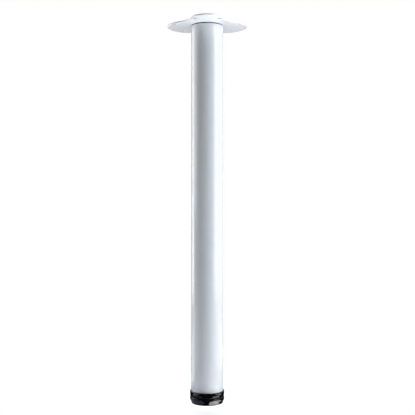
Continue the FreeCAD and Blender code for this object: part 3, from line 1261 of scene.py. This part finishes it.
@dataclass(frozen=True)
class FlatPanel:
    """A lamp that lies level, low to light the plate and the rings from below, or overhead.

    Attributes:
        name: Its name.
        where: Its middle, in metres.
        size: Its two sides, in metres.
        radiance: How bright its face is, where 1 is white.
        spread: How wide its beam opens, in degrees, 180 where nothing narrows it.
        turn: How far it is turned about the vertical, in degrees.
        tint: Its colour.
        gloss_only: Whether it is only seen in glossy faces and lights nothing else.
    """

    name: str
    where: Triple
    size: Pair
    radiance: float
    spread: float = 180.0
    turn: float = 0.0
    tint: Colour = (1.0, 1.0, 1.0)
    gloss_only: bool = False

    def place(self) -> None:
        """Puts the lamp into the scene, face up when it is low and face down when it is high."""
        facing = Vector((0.0, 0.0, 1.0 if self.where[2] < OVERHEAD else -1.0))
        holder = panel_lamp(self.name, Vector(self.where), facing, self.size, self.radiance, self.tint, self.spread)
        holder.visible_diffuse = not self.gloss_only
        turned = Quaternion((0.0, 0.0, 1.0), math.radians(self.turn))
        holder.rotation_quaternion = turned @ holder.rotation_quaternion


@dataclass
class Studio:
    """White studio: a pale floor with a sweep behind, soft panels at both sides and low ones in front.

    The floor lies as low as the sole reaches when the foot is wound out.
    """

    floor_radius: float = 1.2
    floor_points: int = 96
    floor_level: float = -0.0205
    sweep_strength: float = 0.46
    sweep_edge: Pair = (0.80, 0.95)
    boxes: tuple[Softbox | FlatPanel, ...] = (
        Softbox("key_right", 65.0, 1.4, 0.02, 1.6, 0.75, 4.6, (0.955, 1.0, 1.045)),
        Softbox("edge_right", 85.0, 1.4, 0.02, 1.6, 0.25, 2.6),
        Softbox("back_right", 115.0, 1.4, 0.02, 1.6, 1.20, 0.9),
        Softbox("fill_left", -92.0, 1.4, 0.35, 1.7, 0.80, 2.1),
        Softbox("back_left", -120.0, 1.4, 0.02, 1.6, 0.50, 5.0),
        FlatPanel("low_right", (0.65, 0.0, 0.015), (0.8, 0.8), 1.4),
        FlatPanel("low_left", (-0.65, 0.0, 0.015), (0.8, 0.8), 0.75),
        FlatPanel("low_front", (0.0, -0.14, 0.015), (0.2, 0.2), 1.8, 46.0),
        FlatPanel("near_front", (0.0, -0.050, 0.001), (0.07, 0.024), 2.0, 90.0),
        FlatPanel("bounce_right", (0.125, -0.06, 0.004), (0.10, 0.12), 1.80),
        FlatPanel("bounce_left", (-0.125, -0.06, 0.004), (0.10, 0.12), 1.10, tint=(0.90, 1.0, 1.12)),
        FlatPanel("glint_near", (0.0172, -0.0310, 0.001), (0.019, 0.024), 6.5, turn=-61.0),
        FlatPanel("glint_far", (0.0356, -0.0321, 0.001), (0.024, 0.036), 4.2, turn=-42.0, gloss_only=True),
        FlatPanel("glint_left", (-0.0364, -0.0210, 0.001), (0.036, 0.060), 0.50, turn=30.0,
                  tint=(0.80, 0.95, 1.25), gloss_only=True),
        FlatPanel("gleam_left", (-0.60, 0.28, 0.006), (1.0, 0.16), 1.5, turn=-25.0, gloss_only=True),
        FlatPanel("overhead", (0.0, 0.0, 1.8), (2.0, 2.0), 0.86, tint=(0.985, 1.0, 1.03)),
    )

    def build(self) -> None:
        """Builds floor, world and lamps."""
        bm = bmesh.new()
        turns = [2 * math.pi * i / self.floor_points for i in range(self.floor_points)]
        rim = [(math.cos(t) * self.floor_radius, math.sin(t) * self.floor_radius, 0.0) for t in turns]
        bm.faces.new([bm.verts.new(point) for point in rim])
        mesh = bpy.data.meshes.new("floor_sheet")
        bm.to_mesh(mesh)
        bm.free()
        mesh.materials.append(StudioFloor().make())
        floor = bpy.data.objects.new("floor_sheet", mesh)
        floor.location.z = self.floor_level
        bpy.context.scene.collection.objects.link(floor)
        self.world()
        for box in self.boxes:
            box.place()

    def world(self) -> None:
        """Makes the air white to the camera, and a white sweep behind the leg for all else."""
        world = bpy.data.worlds.new("studio_air")
        graph = NodeGraph(world, "ShaderNodeOutputWorld")
        split = graph.add("ShaderNodeSeparateXYZ", {"Vector": graph.places["Generated"]})
        behind = graph.ranged(split.outputs["Y"], self.sweep_edge)
        sweep = graph.mix(behind, self.air(graph, 0.0), self.air(graph, self.sweep_strength))
        seen = graph.add("ShaderNodeLightPath").outputs["Is Camera Ray"]
        graph.close(graph.mix(seen, sweep, self.air(graph, 1.0)))
        bpy.context.scene.world = world
        bpy.context.scene.view_settings.view_transform = "Standard"

    def air(self, graph: NodeGraph, strength: float) -> Socket:
        """Adds one white background light to the world's graph."""
        sockets = {"Color": (1.0, 1.0, 1.0, 1.0), "Strength": strength}
        return graph.add("ShaderNodeBackground", sockets).outputs["Background"]


@dataclass
class Viewpoint:
    """The level camera in front of the leg."""

    distance: float = 1.417
    aside: float = 0.00075
    eye: float = 0.3656
    lens: float = 65.39
    sensor: float = 36.0
    clip: Pair = (0.05, 50.0)

    def build(self) -> None:
        """Creates the camera and makes it the scene's own."""
        data = bpy.data.cameras.new("front_camera")
        data.sensor_fit = "HORIZONTAL"
        data.sensor_width = self.sensor
        data.lens = self.lens
        data.clip_start, data.clip_end = self.clip
        camera = bpy.data.objects.new("front_camera", data)
        camera.location = (self.aside, -self.distance, self.eye)
        camera.rotation_euler = (math.pi / 2, 0.0, 0.0)
        bpy.context.scene.collection.objects.link(camera)
        bpy.context.scene.camera = camera
        LOG.info("camera: %.1f mm lens at %.3f m", self.lens, self.distance)


def main() -> None:
    """Dresses the leg piece by piece, then lights and frames it."""
    logging.basicConfig(level=logging.INFO, format="%(message)s")
    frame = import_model()
    shop = Workshop(frame["nodes"])
    for part in (LobedPlate(), TopMount(), Tube(), EndPlug(), AdjustingFoot()):
        part.build(shop)
    Studio().build()
    Viewpoint().build()


if __name__ == "__main__":
    main()
